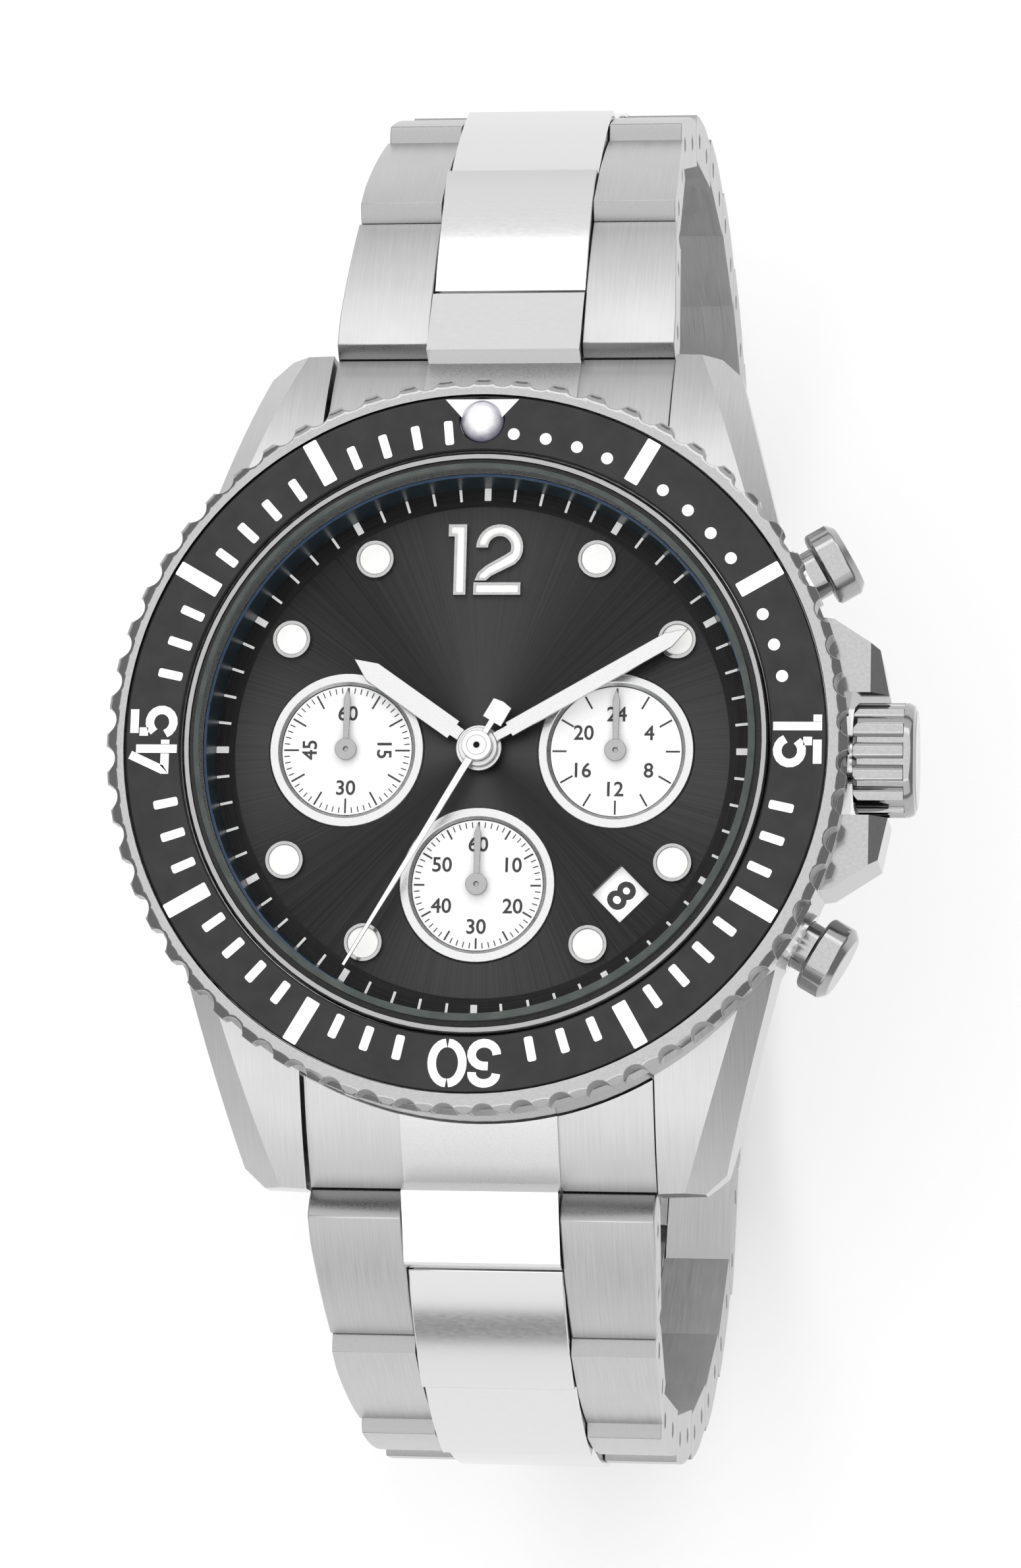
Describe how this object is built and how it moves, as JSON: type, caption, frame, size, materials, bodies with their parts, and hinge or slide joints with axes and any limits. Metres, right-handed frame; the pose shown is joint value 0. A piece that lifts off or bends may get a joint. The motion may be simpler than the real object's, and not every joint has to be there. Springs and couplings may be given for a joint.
{
  "type": "dive chronograph watch",
  "caption": "Dive-style chronograph wristwatch on a closed three-row steel bracelet, with turning bezel, pull-out crown, pushers, hands and fold-over clasp.",
  "frame": {"origin": "centre of the case back's outer face, on the axis of the hands", "axes": "+Z out through the crystal, +Y towards 12 o'clock, +X towards the crown at 3 o'clock"},
  "size_m": [0.0456, 0.0859, 0.0783],
  "materials": {
    "black_insert": "glossy black",
    "board": "green board",
    "copper": "enamelled copper wire",
    "dial_black": "sunray black",
    "glass": "clear flat glass",
    "lume": "matt white",
    "movement_metal": "plain brass",
    "movement_plastic": "white plastic",
    "polished_steel": "polished steel",
    "printed_white": "white print",
    "rubber": "matt black",
    "steel": "satin steel"
  },
  "bodies": {
    "case": {"mid_case": "steel", "case_back": "steel", "case_back_gasket": "rubber", "crystal": "glass", "crystal_gasket": "rubber", "inner_flange": "dial_black", "dial": "dial_black", "hour_markers": "polished_steel", "numeral_12": "polished_steel", "subdial_rings": "polished_steel", "main_plate": "movement_metal", "movement_holder": "movement_plastic", "battery": "polished_steel", "circuit_board": "board", "motor_coils": "copper", "movement_cover": "polished_steel", "crown_tube": "polished_steel", "pusher_tubes": "polished_steel", "click_spring": "polished_steel", "spring_bars": "polished_steel", "end_link_12": "steel", "end_link_6": "steel"},
    "bezel": {"bezel_ring": "polished_steel", "bezel_insert": "black_insert", "bezel_pearl": "lume"},
    "crown_sleeve": {"crown_gasket": "rubber"},
    "crown": {"crown": "polished_steel", "setting_stem": "polished_steel"},
    "upper_pusher": {"upper_pusher": "polished_steel"},
    "lower_pusher": {"lower_pusher": "polished_steel"},
    "hour_hand": {"hour_hand": "polished_steel"},
    "minute_hand": {"minute_hand": "polished_steel"},
    "chrono_seconds_hand": {"chrono_seconds_hand": "polished_steel"},
    "small_seconds_hand": {"small_seconds_hand": "polished_steel"},
    "chrono_minutes_hand": {"chrono_minutes_hand": "polished_steel"},
    "day_hand": {"day_hand": "polished_steel"},
    "date_ring": {"date_ring": "printed_white"},
    "motion_wheel": {"motion_wheel": "movement_metal"},
    "link_12_1": {"link_12_1": "steel"},
    "link_12_2": {"link_12_2": "steel"},
    "link_12_3": {"link_12_3": "steel"},
    "link_12_4": {"link_12_4": "steel"},
    "link_12_5": {"link_12_5": "steel"},
    "link_12_6": {"link_12_6": "steel"},
    "link_12_7": {"link_12_7": "steel"},
    "link_12_8": {"link_12_8": "steel", "clasp_end_bar": "polished_steel"},
    "link_6_1": {"link_6_1": "steel"},
    "link_6_2": {"link_6_2": "steel"},
    "link_6_3": {"link_6_3": "steel"},
    "link_6_4": {"link_6_4": "steel"},
    "link_6_5": {"link_6_5": "steel"},
    "link_6_6": {"link_6_6": "steel"},
    "link_6_7": {"link_6_7": "steel"},
    "link_6_8": {"link_6_8": "steel"},
    "clasp_cover": {"clasp_cover": "steel", "clasp_bar": "polished_steel"},
    "clasp_outer_blade": {"clasp_outer_blade": "steel"},
    "clasp_inner_blade": {"clasp_inner_blade": "steel"}
  },
  "joints": [
    {"name": "bezel_turn", "type": "hinge", "parent": "case", "child": "bezel", "pos_m": [0, 0, 0.0105], "axis": [0, 0, -1], "continuous": true},
    {"name": "crown_pull", "type": "slide", "parent": "case", "child": "crown_sleeve", "axis": [1, 0, 0], "range_m": [0, 0.001]},
    {"name": "crown_turn", "type": "hinge", "parent": "crown_sleeve", "child": "crown", "pos_m": [0.022, 0, 0.006], "axis": [1, 0, 0], "continuous": true},
    {"name": "upper_push", "type": "slide", "parent": "case", "child": "upper_pusher", "axis": [-0.866, -0.5, 0], "range_m": [0, 0.0008], "stiffness_N_per_m": 1500, "springref_m": -0.0006},
    {"name": "lower_push", "type": "slide", "parent": "case", "child": "lower_pusher", "axis": [-0.866, 0.5, 0], "range_m": [0, 0.0008], "stiffness_N_per_m": 1500, "springref_m": -0.0006},
    {"name": "minute_hand_turn", "type": "hinge", "parent": "case", "child": "minute_hand", "pos_m": [0, 0, 0.0095], "axis": [0, 0, -1], "continuous": true},
    {"name": "hour_hand_turn", "type": "hinge", "parent": "case", "child": "hour_hand", "pos_m": [0, 0, 0.0095], "axis": [0, 0, -1], "continuous": true},
    {"name": "day_hand_turn", "type": "hinge", "parent": "case", "child": "day_hand", "pos_m": [0.0077, 0, 0.0095], "axis": [0, 0, -1], "continuous": true},
    {"name": "small_seconds_turn", "type": "hinge", "parent": "case", "child": "small_seconds_hand", "pos_m": [0, -0.0077, 0.0095], "axis": [0, 0, -1], "continuous": true},
    {"name": "date_ring_turn", "type": "hinge", "parent": "case", "child": "date_ring", "pos_m": [0, 0, 0.0095], "axis": [0, 0, -1], "continuous": true},
    {"name": "motion_wheel_turn", "type": "hinge", "parent": "case", "child": "motion_wheel", "pos_m": [0, 0.0032, 0.0095], "axis": [0, 0, -1], "continuous": true},
    {"name": "chrono_seconds_turn", "type": "hinge", "parent": "case", "child": "chrono_seconds_hand", "pos_m": [0, 0, 0.0095], "axis": [0, 0, -1], "continuous": true},
    {"name": "chrono_minutes_turn", "type": "hinge", "parent": "case", "child": "chrono_minutes_hand", "pos_m": [-0.0077, 0, 0.0095], "axis": [0, 0, -1], "continuous": true},
    {"name": "link_12_1_hinge", "type": "hinge", "parent": "case", "child": "link_12_1", "pos_m": [0, 0.0264, 0.0012], "axis": [1, 0, 0], "range_deg": [0, 2]},
    {"name": "link_12_2_hinge", "type": "hinge", "parent": "link_12_1", "child": "link_12_2", "pos_m": [0, 0.0351, -0.00286], "axis": [1, 0, 0], "range_deg": [0, 20]},
    {"name": "link_12_3_hinge", "type": "hinge", "parent": "link_12_2", "child": "link_12_3", "pos_m": [0, 0.04127, -0.01021], "axis": [1, 0, 0], "range_deg": [0, 18]},
    {"name": "link_12_4_hinge", "type": "hinge", "parent": "link_12_3", "child": "link_12_4", "pos_m": [0, 0.04424, -0.01934], "axis": [1, 0, 0], "range_deg": [0, 9]},
    {"name": "link_12_5_hinge", "type": "hinge", "parent": "link_12_4", "child": "link_12_5", "pos_m": [0, 0.04524, -0.02889], "axis": [1, 0, 0], "range_deg": [0, 9]},
    {"name": "link_12_6_hinge", "type": "hinge", "parent": "link_12_5", "child": "link_12_6", "pos_m": [0, 0.04424, -0.03844], "axis": [1, 0, 0], "range_deg": [0, 8]},
    {"name": "link_12_7_hinge", "type": "hinge", "parent": "link_12_6", "child": "link_12_7", "pos_m": [0, 0.04143, -0.04762], "axis": [1, 0, 0], "range_deg": [0, 8]},
    {"name": "link_12_8_hinge", "type": "hinge", "parent": "link_12_7", "child": "link_12_8", "pos_m": [0, 0.03692, -0.05609], "axis": [1, 0, 0], "range_deg": [0, 16]},
    {"name": "link_6_1_hinge", "type": "hinge", "parent": "case", "child": "link_6_1", "pos_m": [0, -0.0264, 0.0012], "axis": [-1, 0, 0], "range_deg": [0, 18]},
    {"name": "link_6_2_hinge", "type": "hinge", "parent": "link_6_1", "child": "link_6_2", "pos_m": [0, -0.03282, -0.00593], "axis": [-1, 0, 0], "range_deg": [0, 18]},
    {"name": "link_6_3_hinge", "type": "hinge", "parent": "link_6_2", "child": "link_6_3", "pos_m": [0, -0.03642, -0.01484], "axis": [-1, 0, 0], "range_deg": [0, 16]},
    {"name": "link_6_4_hinge", "type": "hinge", "parent": "link_6_3", "child": "link_6_4", "pos_m": [0, -0.03709, -0.02441], "axis": [-1, 0, 0], "range_deg": [0, 8]},
    {"name": "link_6_5_hinge", "type": "hinge", "parent": "link_6_4", "child": "link_6_5", "pos_m": [0, -0.03625, -0.03398], "axis": [-1, 0, 0], "range_deg": [0, 8]},
    {"name": "link_6_6_hinge", "type": "hinge", "parent": "link_6_5", "child": "link_6_6", "pos_m": [0, -0.03377, -0.04325], "axis": [-1, 0, 0], "range_deg": [0, 8]},
    {"name": "link_6_7_hinge", "type": "hinge", "parent": "link_6_6", "child": "link_6_7", "pos_m": [0, -0.02956, -0.05188], "axis": [-1, 0, 0], "range_deg": [0, 12]},
    {"name": "link_6_8_hinge", "type": "hinge", "parent": "link_6_7", "child": "link_6_8", "pos_m": [0, -0.02339, -0.05923], "axis": [-1, 0, 0], "range_deg": [0, 26]},
    {"name": "clasp_cover_hinge", "type": "hinge", "parent": "link_6_8", "child": "clasp_cover", "pos_m": [0, -0.01437, -0.06252], "axis": [-1, 0, 0], "range_deg": [0, 20]},
    {"name": "clasp_outer_blade_hinge", "type": "hinge", "parent": "clasp_cover", "child": "clasp_outer_blade", "pos_m": [0, 0.02179, -0.0634], "axis": [-1, 0, 0], "range_deg": [0, 120]},
    {"name": "clasp_inner_blade_hinge", "type": "hinge", "parent": "clasp_outer_blade", "child": "clasp_inner_blade", "pos_m": [0, -0.00737, -0.0634], "axis": [-1, 0, 0], "range_deg": [-120, 0]}
  ],
  "couplings": [
    {"joint": "hour_hand_turn", "follows": "minute_hand_turn", "ratio": 0.083333},
    {"joint": "day_hand_turn", "follows": "minute_hand_turn", "ratio": 0.041667},
    {"joint": "small_seconds_turn", "follows": "minute_hand_turn", "ratio": 60},
    {"joint": "date_ring_turn", "follows": "minute_hand_turn", "ratio": 0.0013441},
    {"joint": "motion_wheel_turn", "follows": "minute_hand_turn", "ratio": -0.33333},
    {"joint": "chrono_minutes_turn", "follows": "chrono_seconds_turn", "ratio": 0.016667},
    {"joint": "link_12_1_hinge", "follows": "link_12_2_hinge", "ratio": 0.1},
    {"joint": "link_12_3_hinge", "follows": "link_12_2_hinge", "ratio": 0.9},
    {"joint": "link_12_4_hinge", "follows": "link_12_2_hinge", "ratio": 0.45},
    {"joint": "link_12_5_hinge", "follows": "link_12_2_hinge", "ratio": 0.45},
    {"joint": "link_12_6_hinge", "follows": "link_12_2_hinge", "ratio": 0.4},
    {"joint": "link_12_7_hinge", "follows": "link_12_2_hinge", "ratio": 0.4},
    {"joint": "link_12_8_hinge", "follows": "link_12_2_hinge", "ratio": 0.8},
    {"joint": "link_6_1_hinge", "follows": "link_12_2_hinge", "ratio": 0.9},
    {"joint": "link_6_2_hinge", "follows": "link_12_2_hinge", "ratio": 0.9},
    {"joint": "link_6_3_hinge", "follows": "link_12_2_hinge", "ratio": 0.8},
    {"joint": "link_6_4_hinge", "follows": "link_12_2_hinge", "ratio": 0.4},
    {"joint": "link_6_5_hinge", "follows": "link_12_2_hinge", "ratio": 0.4},
    {"joint": "link_6_6_hinge", "follows": "link_12_2_hinge", "ratio": 0.4},
    {"joint": "link_6_7_hinge", "follows": "link_12_2_hinge", "ratio": 0.6},
    {"joint": "link_6_8_hinge", "follows": "link_12_2_hinge", "ratio": 1.3},
    {"joint": "clasp_cover_hinge", "follows": "link_12_2_hinge", "ratio": 1},
    {"joint": "clasp_outer_blade_hinge", "follows": "link_12_2_hinge", "ratio": 6},
    {"joint": "clasp_inner_blade_hinge", "follows": "link_12_2_hinge", "ratio": -6}
  ]
}
